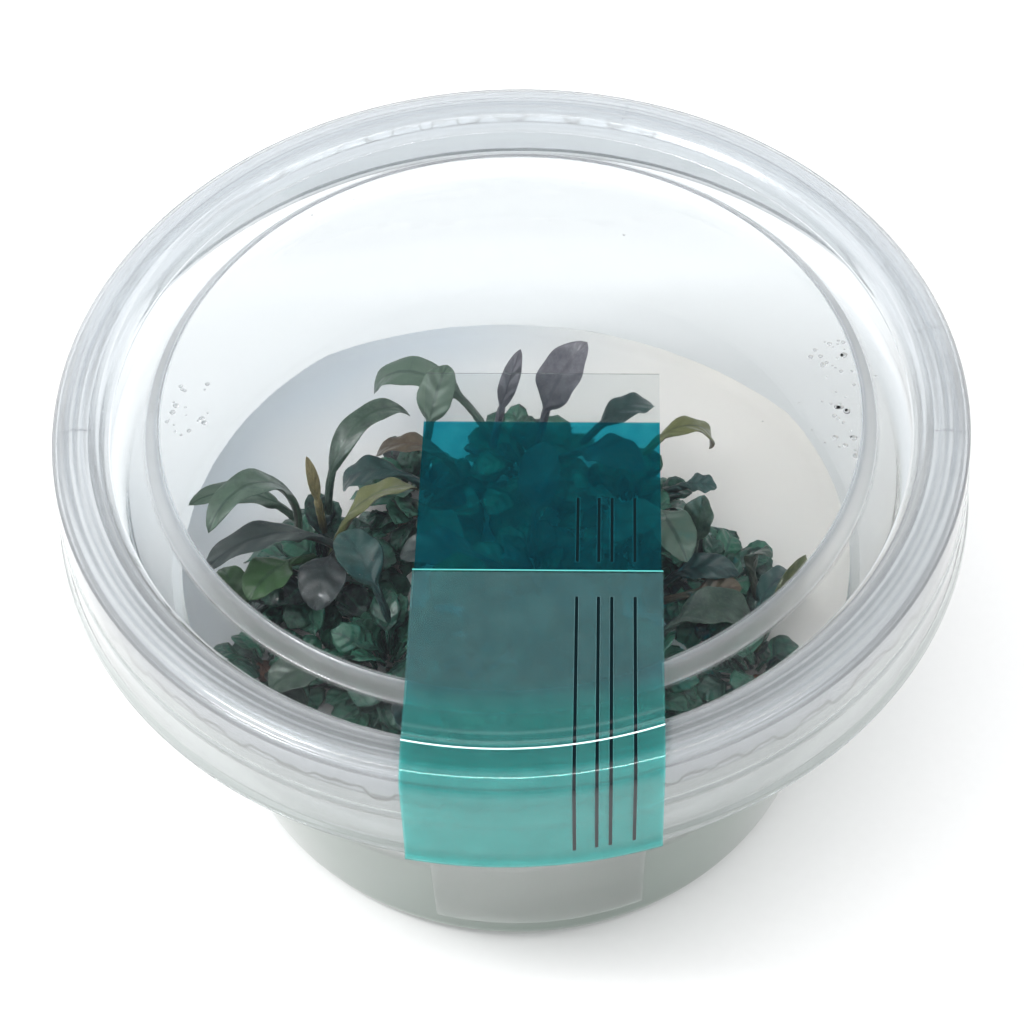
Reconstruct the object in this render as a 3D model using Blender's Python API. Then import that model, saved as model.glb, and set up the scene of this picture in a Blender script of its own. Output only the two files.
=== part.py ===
"""A bucephalandra grown in a closed culture cup.

A clear cup with a press-fit lid holds a pad of jelly. Crowns of the plant stand in pockets of
the jelly, and the leaves that stand clear of a crown are solids of their own. A strip of
tinted film runs over the lid and down its skirt, with a second film on its front part, and
a clear sticker lies on the cup below it.

Lengths are in millimetres here and become metres when a mesh is made. The origin is under
the middle of the cup, +Z is up and -Y is the side that carries the strip.
"""
import math

import bmesh
import bpy
import numpy as np
from mathutils import Matrix, Vector

MM = 0.001
GAP = 0.3             # clearance that touching pieces keep
TURN_STEPS = 36       # segments of every turned piece

# Lid, outer faces
LID_SHEET = 0.6
PANEL_R, PANEL_Z = 45.3, 66.6
SHELF_IN_R, SHELF_OUT_R, SHELF_Z = 47.0, 51.6, 64.7
BEAD_FOOT_R, BEAD_FOOT_Z = 52.4, 66.2
CREST_R, CREST_Z = 55.8, 67.5
SHOULDER_R, SHOULDER_Z = 58.7, 66.4
SKIRT_R, STEP_Z = 59.0, 59.4
FLANGE_R, FLANGE_Z = 60.0, 52.8

# Cup, outer faces
CUP_SHEET = 0.7
BASE_FLAT_R, BASE_FILLET = 38.0, 4.2
WALL_TOP_R, WALL_TOP_Z = 51.2, 55.5
COLLAR_R, COLLAR_Z = 52.9, 58.0
COLLAR_TOP_R, COLLAR_TOP_Z = 53.5, 64.4
LIP_R, LIP_Z, LIP_END_Z = 57.2, 64.4, 61.5

# Jelly
JELLY_Z = 33.6
PLUG_DEPTH = 4.0      # how far a crown reaches into the jelly
PLUG_SHARE = 0.55     # plug radius as a share of the crown's radius

# Films
FILM = 0.15
STRIP_WIDTH, STRIP_OFFSET, STRIP_TURN = 30.0, 4.2, -3.4
STRIP_HEAD_Y, STRIP_OVERLAY_Y = -4.0, 28.0
STICKER_WIDTH, STICKER_OFFSET = 28.0, 1.3
STICKER_LOW_Z, STICKER_HIGH_Z = 8.0, 50.0

# Crowns: name, x, y, radius, height above the jelly
CROWNS = (
    ("left", -26.0, -6.0, 8.5, 13.0),
    ("back_left", -13.0, 6.0, 7.5, 13.5),
    ("back", 3.0, 10.0, 8.0, 15.0),
    ("back_right", 16.0, 2.0, 7.5, 13.0),
    ("right", 26.5, -9.5, 7.0, 10.0),
    ("middle", 3.0, -12.0, 9.0, 14.5),
    ("front_left", -17.0, -22.0, 8.5, 13.5),
    ("front_right", 14.0, -27.5, 8.5, 12.5),
    ("left_edge", -33.5, -20.5, 6.0, 9.5),
    ("right_edge", 31.0, -25.0, 6.0, 9.5),
    ("front", -2.0, -29.5, 6.5, 11.5),
)

# Leaves: crown, where the stalk leaves the crown (bearing and rise), the way the blade
# sets off (bearing and rise), length, width, how far it bows over, how far it swings
# sideways, roll about its own line, and tint. Angles are in degrees.
LEAVES = (
    # The rosette at the left, with the arching leaves that reach over the bare jelly
    ("left", 143, 69, 185, 95, 24.0, 4.6, 131, 60, 0, "green"),
    ("left", 111, 22, 171, 60, 19.7, 3.6, 54, 51, -12, "green"),
    ("left", 316, 75, 199, 54, 20.6, 5.0, 94, 8, 8, "purple"),
    ("left", 89, 65, 119, 82, 10.2, 1.7, 9, 1, 0, "pale"),
    ("left", 80, 54, 74, 78, 24.0, 3.6, 146, -49, 6, "green"),
    ("left", 336, 74, 34, 65, 15.4, 4.8, 117, -15, -24, "olive"),
    ("left", 308, 69, 258, 38, 11.0, 6.4, 82, -3, 0, "purple"),
    ("left", 233, 64, 229, 39, 10.7, 6.0, 65, 2, 0, "bright"),
    # Behind, under the clear head of the strip
    ("back", 149, 38, 128, 38, 24.7, 4.4, 116, 36, -20, "green"),
    ("back", 162, 57, 56, 65, 11.8, 2.6, 18, -1, 20, "purple"),
    ("back", 320, 80, 39, 77, 14.7, 6.2, 49, -4, 8, "purple"),
    ("back", 18, 34, 32, 31, 13.0, 4.4, 82, 4, 0, "dark"),
    ("back", 330, 50, 325, 50, 13.0, 5.8, 70, 0, 0, "dark"),
    ("back_left", 356, 54, 170, 68, 13.6, 3.8, 125, 11, 12, "brown"),
    ("back_left", 273, 67, 169, 35, 12.5, 4.6, 110, 14, 0, "dark"),
    ("back_left", 275, 48, 292, 40, 12.5, 5.8, 76, 0, 0, "green"),
    ("back_left", 75, 50, 70, 58, 11.5, 5.2, 60, 0, 0, "green"),
    # The right hand side
    ("back_right", 69, 52, 37, 45, 15.4, 3.2, 151, -35, 0, "olive"),
    ("back_right", 8, 42, 350, 34, 5.6, 3.2, 60, 0, 0, "dark"),
    ("back_right", 300, 55, 290, 44, 12.5, 5.8, 78, 0, 0, "green"),
    ("right", 170, 69, 71, 60, 8.0, 4.8, 21, -1, -20, "green"),
    ("right", 191, 35, 358, 57, 11.5, 3.8, 88, -16, 16, "dark"),
    ("right", 227, 43, 357, 23, 7.6, 4.2, 27, 2, 10, "brown"),
    ("right", 325, 41, 301, 116, 12.0, 2.6, 98, 0, 0, "green"),
    ("right_edge", 75, 47, 48, 49, 11.4, 2.6, 11, 0, 20, "olive"),
    # The thick of the clump under the tinted film
    ("middle", 95, 64, 80, 62, 13.0, 5.6, 70, 0, 0, "dark"),
    ("middle", 20, 52, 15, 50, 13.0, 6.0, 76, 0, 0, "green"),
    ("middle", 175, 54, 178, 44, 13.5, 6.0, 78, 0, 0, "purple"),
    ("middle", 262, 60, 262, 50, 12.5, 6.2, 80, 0, 0, "green"),
    # The front, seen through the shelf of the lid
    ("front_left", 97, 56, 120, 54, 12.0, 6.0, 78, 0, 0, "dark"),
    ("front_left", 25, 60, 38, 48, 12.0, 6.2, 74, 0, 0, "bright"),
    ("front_left", 205, 50, 208, 34, 11.5, 6.0, 70, 0, 0, "green"),
    ("front_left", 285, 48, 288, 30, 11.5, 6.2, 70, 0, 0, "dark"),
    ("front_right", 53, 45, 38, 23, 16.0, 5.6, 90, -40, 10, "green"),
    ("front_right", 125, 60, 136, 50, 12.0, 6.0, 78, 0, 0, "dark"),
    ("front_right", 250, 50, 250, 34, 11.5, 6.0, 70, 0, 0, "purple"),
    ("left_edge", 118, 44, 112, 40, 9.5, 5.2, 62, 0, 0, "bright"),
    ("left_edge", 285, 46, 292, 38, 9.5, 5.6, 70, 0, 0, "green"),
    ("right_edge", 91, 41, 75, 27, 14.0, 3.8, 90, -40, 0, "dark"),
    ("right_edge", 250, 46, 246, 36, 9.5, 5.6, 70, 0, 0, "green"),
    ("front", 45, 58, 58, 46, 11.5, 6.0, 76, 0, 0, "bright"),
    ("front", 262, 52, 262, 42, 10.5, 6.2, 76, 0, 0, "dark"),
)
LEAF_STATIONS = 9
STALK_FOOT = 1.3      # how far outside its crown a stalk starts
STALK_SHARE = 0.24    # part of a leaf's length that is bare stalk
STALK_WIDTH = 1.1
LEAF_THICK = 0.55
LEAF_FOLD = 14.0      # how far each half of a blade is raised, degrees
CROWN_SIDES = 12

# Colour, roughness and alpha of every material
LOOKS = {
    "clear_plastic": ((0.86, 0.89, 0.90), 0.12, 0.25),
    "tinted_film": ((0.10, 0.45, 0.45), 0.25, 0.70),
    "matt_film": ((0.35, 0.62, 0.60), 0.35, 0.45),
    "clear_film": ((0.90, 0.93, 0.92), 0.20, 0.30),
    "jelly": ((0.85, 0.87, 0.82), 0.20, 0.75),
    "crown": ((0.05, 0.11, 0.08), 0.50, 1.0),
    "green": ((0.07, 0.14, 0.10), 0.35, 1.0),
    "dark": ((0.03, 0.07, 0.07), 0.35, 1.0),
    "purple": ((0.11, 0.11, 0.13), 0.35, 1.0),
    "brown": ((0.13, 0.11, 0.08), 0.35, 1.0),
    "olive": ((0.16, 0.19, 0.07), 0.35, 1.0),
    "bright": ((0.09, 0.22, 0.07), 0.35, 1.0),
    "pale": ((0.40, 0.42, 0.22), 0.40, 1.0),
}


def clear_scene():
    """Remove every object that the file starts with."""
    for old in list(bpy.data.objects):
        bpy.data.objects.remove(old, do_unlink=True)


def material(name):
    """Return the Principled material of this name, made on first use."""
    found = bpy.data.materials.get(name)
    if found:
        return found
    colour, roughness, alpha = LOOKS[name]
    made = bpy.data.materials.new(name)
    made.use_nodes = True
    shader = made.node_tree.nodes["Principled BSDF"]
    shader.inputs["Base Color"].default_value = (*colour, 1.0)
    shader.inputs["Roughness"].default_value = roughness
    shader.inputs["Metallic"].default_value = 0.0
    shader.inputs["Alpha"].default_value = alpha
    return made


def new_object(name, shell, look):
    """Turn a bmesh in millimetres into an object in metres with one material."""
    bmesh.ops.recalc_face_normals(shell, faces=shell.faces)
    bmesh.ops.scale(shell, vec=(MM, MM, MM), verts=shell.verts)
    mesh = bpy.data.meshes.new(name)
    shell.to_mesh(mesh)
    shell.free()
    mesh.materials.append(material(look))
    mesh.shade_smooth()
    mesh.set_sharp_from_angle(angle=math.radians(35))
    made = bpy.data.objects.new(name, mesh)
    bpy.context.collection.objects.link(made)
    return made


def turned(name, profile, look):
    """Spin a profile of (radius, height) points, which starts and ends on the axis."""
    shell = bmesh.new()
    points = [shell.verts.new((radius, 0.0, height)) for radius, height in profile]
    edges = [shell.edges.new(pair) for pair in zip(points[:-1], points[1:])]
    bmesh.ops.spin(shell, geom=points + edges, cent=(0, 0, 0), axis=(0, 0, 1),
                   angle=2 * math.pi, steps=TURN_STEPS, use_merge=True, use_duplicate=False)
    bmesh.ops.remove_doubles(shell, verts=shell.verts, dist=1e-4)
    return new_object(name, shell, look)


def beside(path, distance):
    """Return the path moved to its left by distance, with mitred corners."""
    path = np.array(path)
    along = np.diff(path, axis=0)
    along /= np.linalg.norm(along, axis=1)[:, None]
    left = np.stack([-along[:, 1], along[:, 0]], axis=1)
    first = np.vstack([left[:1], left])
    last = np.vstack([left, left[-1:]])
    mitre = (first + last) / (1 + (first * last).sum(axis=1))[:, None]
    moved = path + mitre * distance
    return [tuple(point) for point in moved]


def arc(centre, radius, start, end, count):
    """Points on an arc from start to end degrees, both ends included."""
    angles = np.radians(np.linspace(start, end, count))
    return [(centre[0] + radius * math.cos(a), centre[1] + radius * math.sin(a)) for a in angles]


def lid_path():
    """Outer face of the lid from its middle to the foot of its skirt."""
    return [
        (0.0, PANEL_Z), (PANEL_R, PANEL_Z), (SHELF_IN_R, SHELF_Z), (SHELF_OUT_R, SHELF_Z),
        (BEAD_FOOT_R, BEAD_FOOT_Z), (CREST_R - 1.9, CREST_Z - 0.3), (CREST_R, CREST_Z),
        (CREST_R + 1.9, CREST_Z - 0.3), (SHOULDER_R, SHOULDER_Z), (SKIRT_R, STEP_Z),
        (SKIRT_R + 0.3, STEP_Z - 0.6), (FLANGE_R - 0.6, FLANGE_Z + 1.2), (FLANGE_R, FLANGE_Z),
    ]


def wall_radius(height):
    """Outer radius of the cup's tapered wall at a height."""
    low = arc((BASE_FLAT_R, BASE_FILLET), BASE_FILLET, -90, -10, 5)[-1]
    share = (height - low[1]) / (WALL_TOP_Z - low[1])
    return low[0] + share * (WALL_TOP_R - low[0])


def cup_foot():
    """Outer face of the cup's base and its rounded edge, up to the tapered wall."""
    return [(0.0, 0.0)] + arc((BASE_FLAT_R, BASE_FILLET), BASE_FILLET, -90, -10, 5)


def cup_path():
    """Outer face of the cup from the middle of its base to the end of its rolled lip."""
    return cup_foot() + [
        (WALL_TOP_R, WALL_TOP_Z), (COLLAR_R, COLLAR_Z), (COLLAR_TOP_R, COLLAR_TOP_Z),
        (COLLAR_TOP_R + 1.5, COLLAR_TOP_Z + 1.1), (LIP_R - 0.9, LIP_Z + 1.0),
        (LIP_R, LIP_Z), (LIP_R + 0.1, LIP_END_Z),
    ]


def make_lid():
    """A sheet of even thickness under the outer face, closed along the skirt's foot."""
    outer = lid_path()
    inner = beside(outer, -LID_SHEET)
    return turned("lid", outer + inner[::-1], "clear_plastic")


def make_cup():
    """A sheet of even thickness inside the outer face, closed at the end of the lip."""
    outer = cup_path()
    inner = beside(outer, CUP_SHEET)
    return turned("cup", outer + inner[::-1], "clear_plastic")


def crown_rings(radius, height):
    """Rings of a crown: plug in the jelly, underside, and a domed top of small leaves."""
    plug = radius * PLUG_SHARE
    rings = [(plug, -PLUG_DEPTH, 0.0), (plug, GAP, 0.0), (radius * 0.88, 1.0, 0.6)]
    for rise in (14, 36, 58, 78):
        angle = math.radians(rise)
        rings.append((radius * math.cos(angle), height * math.sin(angle), 1.0))
    return rings


def make_crown(name, x, y, radius, height, turn):
    """A lumpy dome that stands for a crown's rhizome and its packed small leaves."""
    shell = bmesh.new()
    loops = []
    for ring_radius, rise, lumps in crown_rings(radius, height):
        loop = []
        for step in range(CROWN_SIDES):
            angle = 2 * math.pi * step / CROWN_SIDES
            lump = 1 - lumps * 0.06 * (1 + math.sin(3 * angle + turn + rise * 0.5))
            reach = ring_radius * lump
            loop.append(shell.verts.new((x + reach * math.cos(angle),
                                         y + reach * math.sin(angle), JELLY_Z + rise)))
        loops.append(loop)
    for low, high in zip(loops[:-1], loops[1:]):
        for step in range(CROWN_SIDES):
            after = (step + 1) % CROWN_SIDES
            shell.faces.new((low[step], low[after], high[after], high[step]))
    shell.faces.new(loops[0][::-1])
    top = shell.verts.new((x, y, JELLY_Z + height))
    for step in range(CROWN_SIDES):
        shell.faces.new((loops[-1][step], loops[-1][(step + 1) % CROWN_SIDES], top))
    return new_object(name, shell, "crown")


def make_jelly():
    """The pad of jelly, a gap inside the cup, with a round pocket for every crown."""
    side = beside(cup_foot() + [(wall_radius(JELLY_Z), JELLY_Z)], CUP_SHEET + GAP)
    side[-1] = (side[-1][0], JELLY_Z)
    jelly = turned("jelly", side + [(0.0, JELLY_Z)], "jelly")
    pockets = bmesh.new()
    depth = PLUG_DEPTH + GAP
    for _, x, y, radius, _ in CROWNS:
        pocket = radius * PLUG_SHARE + GAP
        place = Matrix.Translation((x, y, JELLY_Z - depth / 2 + 0.5))
        bmesh.ops.create_cone(pockets, cap_ends=True, segments=CROWN_SIDES, radius1=pocket,
                              radius2=pocket, depth=depth + 1.0, matrix=place)
    cutter = new_object("pocket_cutter", pockets, "jelly")
    cutter.hide_render = True
    cutter.display_type = "WIRE"
    cut = jelly.modifiers.new("pockets", "BOOLEAN")
    cut.operation = "DIFFERENCE"
    cut.solver = "EXACT"
    cut.object = cutter
    return jelly


def leaf_line(start, bearing, rise, length, bow, swing):
    """Points and directions along a leaf that bows over and swings round as it goes."""
    share = np.linspace(0.0, 1.0, LEAF_STATIONS)
    heads = np.radians(bearing + swing * share)
    lifts = np.radians(rise - bow * share ** 1.3)
    ways = np.stack([np.cos(lifts) * np.cos(heads), np.cos(lifts) * np.sin(heads),
                     np.sin(lifts)], axis=1)
    steps = (ways[1:] + ways[:-1]) / 2 * length / (LEAF_STATIONS - 1)
    line = np.vstack([start, start + np.cumsum(steps, axis=0)])
    sides = np.stack([np.sin(heads), -np.cos(heads), np.zeros(LEAF_STATIONS)], axis=1)
    return share, line, ways, sides


def blade_width(share, width):
    """Full width along a leaf: a thin stalk, then a pointed blade widest near its middle."""
    along = np.clip((share - STALK_SHARE) / (1 - STALK_SHARE), 0.0, 1.0)
    blade = along ** 0.62 * (1 - along) ** 0.72
    peak = 0.463 ** 0.62 * 0.537 ** 0.72
    return np.maximum(width * blade / peak, np.where(share <= STALK_SHARE, STALK_WIDTH, 0.5))


def leaf_bmesh(start, spec):
    """A leaf as a closed body with a four-cornered section."""
    bearing, rise, length, width, bow, swing, roll = spec
    share, line, ways, sides = leaf_line(start, bearing, rise, length, bow, swing)
    half = blade_width(share, width) / 2
    thick = np.interp(share, (0, STALK_SHARE, 1), (STALK_WIDTH, STALK_WIDTH, LEAF_THICK)) / 2
    fold = np.radians(LEAF_FOLD) * np.clip((share - STALK_SHARE) * 6, 0, 1)
    shell = bmesh.new()
    loops = []
    for index in range(LEAF_STATIONS):
        way = Vector(ways[index])
        side = Matrix.Rotation(math.radians(roll), 3, way) @ Vector(sides[index])
        up = side.cross(way)
        middle = Vector(line[index])
        out = side * half[index] * math.cos(fold[index])
        lift = up * half[index] * math.sin(fold[index])
        edge = up * thick[index]
        corners = (middle + out + lift, middle + edge, middle - out + lift, middle - edge)
        loops.append([shell.verts.new(corner) for corner in corners])
    for low, high in zip(loops[:-1], loops[1:]):
        for corner in range(4):
            after = (corner + 1) % 4
            shell.faces.new((low[corner], low[after], high[after], high[corner]))
    shell.faces.new(loops[0][::-1])
    shell.faces.new(loops[-1])
    return shell


def crown_surface(crown, bearing, rise, out):
    """A point this far outside a crown's dome."""
    _, x, y, radius, height = crown
    head, lift = math.radians(bearing), math.radians(rise)
    reach = (radius + out) * math.cos(lift)
    return np.array([x + reach * math.cos(head), y + reach * math.sin(head),
                     JELLY_Z + (height + out) * math.sin(lift)])


def make_leaves():
    """Make every leaf from its row, numbered within its crown."""
    crowns = {crown[0]: crown for crown in CROWNS}
    counts = {}
    for home, at_bearing, at_rise, *spec, tint in LEAVES:
        counts[home] = counts.get(home, 0) + 1
        start = crown_surface(crowns[home], at_bearing, at_rise, STALK_FOOT)
        new_object(f"{home}_leaf_{counts[home]}", leaf_bmesh(start, spec), tint)


def strip_stations():
    """Stations of the strip's underside on the bare lid: distance out, height, roundness.

    Roundness 0 is straight across the strip and 1 follows the lid's rim.
    """
    flat = PANEL_Z + GAP
    return [
        (STRIP_HEAD_Y, flat, 0.0), (12.0, flat, 0.0), (STRIP_OVERLAY_Y, flat, 0.0),
        (42.0, flat, 0.0), (47.5, flat + 0.1, 0.5), (52.2, flat + 0.4, 1.0),
        (CREST_R - 2.0, CREST_Z + GAP - 0.1, 1.0), (CREST_R, CREST_Z + GAP + 0.05, 1.0),
        (CREST_R + 2.1, CREST_Z + GAP - 0.2, 1.0),
        (SHOULDER_R + GAP + 0.1, SHOULDER_Z + 0.1, 1.0), (SKIRT_R + GAP + 0.05, STEP_Z, 1.0),
        (FLANGE_R - 0.2, FLANGE_Z + 1.3, 1.0), (FLANGE_R + GAP + 0.1, FLANGE_Z, 1.0),
    ]


def film(name, stations, width, offset, turn, look, columns=9):
    """A thin film laid over stations, made as one sheet and thickened outwards."""
    sheet = bmesh.new()
    across = np.linspace(-width / 2, width / 2, columns) + offset
    rows = []
    for reach, height, roundness in stations:
        row = []
        for x in across:
            dip = roundness * (reach - math.sqrt(reach ** 2 - x ** 2)) if roundness else 0.0
            row.append(sheet.verts.new((x, dip - reach, height)))
        rows.append(row)
    for near, far in zip(rows[:-1], rows[1:]):
        for column in range(columns - 1):
            sheet.faces.new((near[column], far[column], far[column + 1], near[column + 1]))
    turned_by = Matrix.Rotation(math.radians(turn), 3, "Z")
    bmesh.ops.rotate(sheet, cent=(0, 0, 0), matrix=turned_by, verts=sheet.verts)
    bmesh.ops.scale(sheet, vec=(MM, MM, MM), verts=sheet.verts)
    mesh = bpy.data.meshes.new(name)
    sheet.to_mesh(mesh)
    sheet.free()
    mesh.materials.append(material(look))
    made = bpy.data.objects.new(name, mesh)
    bpy.context.collection.objects.link(made)
    thicken = made.modifiers.new("film", "SOLIDIFY")
    thicken.thickness = FILM * MM
    thicken.offset = 1.0
    return made


def lifted(stations, distance):
    """Stations moved out from the surface that they follow."""
    plain = [(reach, height) for reach, height, _ in stations]
    moved = beside(plain, distance)
    return [(*point, station[2]) for point, station in zip(moved, stations)]


def make_films():
    """The strip, the second film on its front part and the sticker on the cup."""
    stations = strip_stations()
    film("label_strip", stations, STRIP_WIDTH, STRIP_OFFSET, STRIP_TURN, "tinted_film")
    front = [station for station in stations if station[0] >= STRIP_OVERLAY_Y]
    over = lifted(front, FILM + GAP)
    film("label_overlay", over, STRIP_WIDTH + 0.4, STRIP_OFFSET, STRIP_TURN, "matt_film")
    levels = np.linspace(STICKER_HIGH_Z, STICKER_LOW_Z, 4)
    on_wall = [(wall_radius(level) + GAP + 0.1, level, 1.0) for level in levels]
    film("cup_sticker", on_wall, STICKER_WIDTH, STICKER_OFFSET, 0.0, "clear_film")


def main():
    """Build every piece in the order in which one rests on another."""
    clear_scene()
    make_cup()
    make_lid()
    make_jelly()
    for index, crown in enumerate(CROWNS):
        make_crown(f"{crown[0]}_crown", *crown[1:], turn=1.7 * index)
    make_leaves()
    make_films()


main()
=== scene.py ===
"""Bucephalandra in a closed culture cup: dresses the CAD model, lights it and frames it.

Sizes are in millimetres and become metres in piece(). The origin is under the middle of the
cup, +Z is up, and -Y is the side where the film strip folds down over the rim. Every piece
is one closed body, or several joined, made from grids of points.
"""

import math

import bmesh
import bpy
import numpy as np
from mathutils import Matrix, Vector


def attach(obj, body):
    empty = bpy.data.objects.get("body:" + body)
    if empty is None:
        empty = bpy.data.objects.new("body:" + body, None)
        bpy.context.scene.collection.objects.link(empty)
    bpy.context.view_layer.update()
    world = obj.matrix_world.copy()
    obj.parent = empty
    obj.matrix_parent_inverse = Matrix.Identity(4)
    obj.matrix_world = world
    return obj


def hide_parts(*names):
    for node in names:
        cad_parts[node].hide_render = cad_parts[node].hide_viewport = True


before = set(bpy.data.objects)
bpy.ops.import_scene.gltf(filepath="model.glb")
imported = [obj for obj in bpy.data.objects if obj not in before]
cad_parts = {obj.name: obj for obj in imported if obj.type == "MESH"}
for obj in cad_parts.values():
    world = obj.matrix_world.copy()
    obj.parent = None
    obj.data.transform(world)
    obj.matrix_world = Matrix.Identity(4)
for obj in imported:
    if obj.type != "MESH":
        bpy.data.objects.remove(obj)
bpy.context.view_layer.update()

# Camera: the place worked out from the lid's concentric circles.
eye = bpy.data.cameras.new("camera")
eye.sensor_width = 36.0
eye.lens = 87.890625
camera = bpy.data.objects.new("camera", eye)
camera.location = (-0.000269, -0.210026, 0.309481)
camera.rotation_euler = [math.radians(angle) for angle in (38.2406, 1.4234, -1.8053)]
bpy.context.scene.collection.objects.link(camera)
bpy.context.scene.camera = camera


# Floor: a white sweep of painted board, with a faint fine grain.
def linear(code):
    """Linear colour of an sRGB hex code: ((c + 0.055) / 1.055) ** 2.4 above the toe."""
    values = np.array([int(code[i:i + 2], 16) / 255 for i in (1, 3, 5)])
    lit = np.where(values <= 0.04045, values / 12.92, ((values + 0.055) / 1.055) ** 2.4)
    return (*(float(value) for value in lit), 1.0)


def add(tree, kind, values=(), links=(), **settings):
    """Add a shader node, with values and links as (socket, value) pairs."""
    made = tree.nodes.new("ShaderNode" + kind)
    for key, value in settings.items():
        setattr(made, key, value)
    for socket, value in values:
        made.inputs[socket].default_value = value
    for socket, source in links:
        tree.links.new(source, made.inputs[socket])
    return made


def surface(name, **values):
    """A Principled material with these socket values, with its tree and its shader."""
    made = bpy.data.materials.new(name)
    made.use_nodes = True
    shader = made.node_tree.nodes["Principled BSDF"]
    for socket, value in values.items():
        shader.inputs[socket.replace("_", " ")].default_value = value
    return made, made.node_tree, shader


def noise_mm(tree, size, detail=2.0, source=None):
    """Noise whose blotches measure about size mm, in object coordinates."""
    place = source or add(tree, "TexCoord").outputs["Object"]
    return add(tree, "TexNoise", [("Scale", 1000.0 / size), ("Detail", detail)],
               [("Vector", place)])


def span(tree, source, low, high, to_low, to_high):
    """Map a value from low..high to to_low..to_high, held at the ends."""
    made = add(tree, "MapRange", [("From Min", low), ("From Max", high), ("To Min", to_low),
                                  ("To Max", to_high)], [("Value", source)])
    return made.outputs["Result"]


def blend(tree, share, low, high):
    """Mix two colours; each is a colour value or a socket."""
    made = add(tree, "Mix", data_type="RGBA")
    tree.links.new(share, made.inputs["Factor"])
    for socket, colour in ((made.inputs[6], low), (made.inputs[7], high)):
        if isinstance(colour, tuple):
            socket.default_value = colour
        else:
            tree.links.new(colour, socket)
    return made.outputs[2]


def bump(tree, shader, height, depth_mm):
    """Give the shader a relief of this depth."""
    made = add(tree, "Bump", [("Strength", 1.0), ("Distance", depth_mm / 1000.0)],
               [("Height", height)])
    tree.links.new(made.outputs["Normal"], shader.inputs["Normal"])


def grid_faces(rows, columns, close_rows=False, close_columns=False):
    """Four-sided faces of a rows by columns grid of points."""
    row, column = np.meshgrid(np.arange(rows - (not close_rows)),
                              np.arange(columns - (not close_columns)), indexing="ij")
    below, beside_it = (row + 1) % rows, (column + 1) % columns
    faces = [row * columns + column, row * columns + beside_it,
             below * columns + beside_it, below * columns + column]
    return np.stack(faces, axis=-1).reshape(-1, 4)


def piece(name, points, faces, material, node=None, marks=None, sharp=40.0):
    """Make one object of points in mm, weld its seams and poles, and turn its faces out.

    node is the CAD node that it stands for, and marks holds point attributes of three
    numbers each, by name.
    """
    mesh = bpy.data.meshes.new(name)
    mesh.from_pydata((np.asarray(points) / 1000.0).tolist(), [], np.asarray(faces).tolist())
    for key, values in (marks or {}).items():
        held = mesh.attributes.new(key, "FLOAT_VECTOR", "POINT")
        held.data.foreach_set("vector", np.asarray(values, np.float32).ravel())
    shell = bmesh.new()
    shell.from_mesh(mesh)
    bmesh.ops.remove_doubles(shell, verts=shell.verts, dist=2e-6)
    bmesh.ops.recalc_face_normals(shell, faces=shell.faces)
    shell.to_mesh(mesh)
    shell.free()
    mesh.materials.append(material)
    mesh.shade_smooth()
    mesh.set_sharp_from_angle(angle=math.radians(sharp))
    made = bpy.data.objects.new(name, mesh)
    bpy.context.scene.collection.objects.link(made)
    if node:
        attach(made, "root")
        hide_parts(*([node] if isinstance(node, str) else node))
    return made


board, board_tree, board_shader = surface("white_board", Roughness=0.6)
grain = noise_mm(board_tree, 1.5)
board_tree.links.new(blend(board_tree, grain.outputs["Fac"], linear("#ececec"),
                           linear("#efefef")), board_shader.inputs["Base Color"])
edge = np.array([(-2000, -2000, -0.1), (2000, -2000, -0.1), (2000, 2000, -0.1),
                 (-2000, 2000, -0.1)])
piece("floor", edge, [(0, 1, 2, 3)], board)

# Light: a bright overcast dome, grey towards the horizon so that clear edges read, with a
# dim patch high at the back, which is what the flat lid mirrors. A soft box at the left and
# a long strip across the top draw the highlights along the rim.
sky = bpy.data.worlds.new("studio")
bpy.context.scene.world = sky
sky.use_nodes = True
sky.cycles.sampling_method = "NONE"
sky_tree = sky.node_tree
toward = add(sky_tree, "TexCoord").outputs["Generated"]
way_up = add(sky_tree, "SeparateXYZ", links=[("Vector", toward)])
dome = blend(sky_tree, span(sky_tree, way_up.outputs["Z"], 0.0, 0.6, 0.0, 1.0),
             linear("#c6cbcf"), linear("#ffffff"))
facing = add(sky_tree, "VectorMath", [(1, (0.0, 0.57, 0.82))], [(0, toward)],
             operation="DOT_PRODUCT")
dimmed = blend(sky_tree, span(sky_tree, facing.outputs["Value"], 0.86, 0.96, 0.0, 1.0), dome,
               linear("#4a4e52"))
sky_tree.links.new(dimmed, sky_tree.nodes["Background"].inputs["Color"])
sky_tree.nodes["Background"].inputs["Strength"].default_value = 1.43


def soft_box(name, place, aim, width, depth, watts):
    """A rectangular lamp at place that looks at aim, all in mm."""
    lamp = bpy.data.lights.new(name, "AREA")
    lamp.shape, lamp.size, lamp.size_y, lamp.energy = "RECTANGLE", width / 1e3, depth / 1e3, watts
    made = bpy.data.objects.new(name, lamp)
    made.location = np.array(place) / 1e3
    way = Vector(aim) - Vector(place)
    made.rotation_euler = way.to_track_quat("-Z", "Y").to_euler()
    bpy.context.scene.collection.objects.link(made)


soft_box("box_left", (-500, -120, 900), (0, 0, 50), 300, 200, 5.0)
soft_box("strip_above", (0, -250, 900), (0, 0, 50), 1500, 60, 4.0)

studio = bpy.context.scene
studio.view_settings.view_transform = "Standard"
studio.cycles.use_denoising = True
studio.cycles.use_light_tree = False
studio.cycles.max_bounces = 14
studio.cycles.diffuse_bounces = 3
studio.cycles.glossy_bounces = 3
studio.cycles.transmission_bounces = 14
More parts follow.
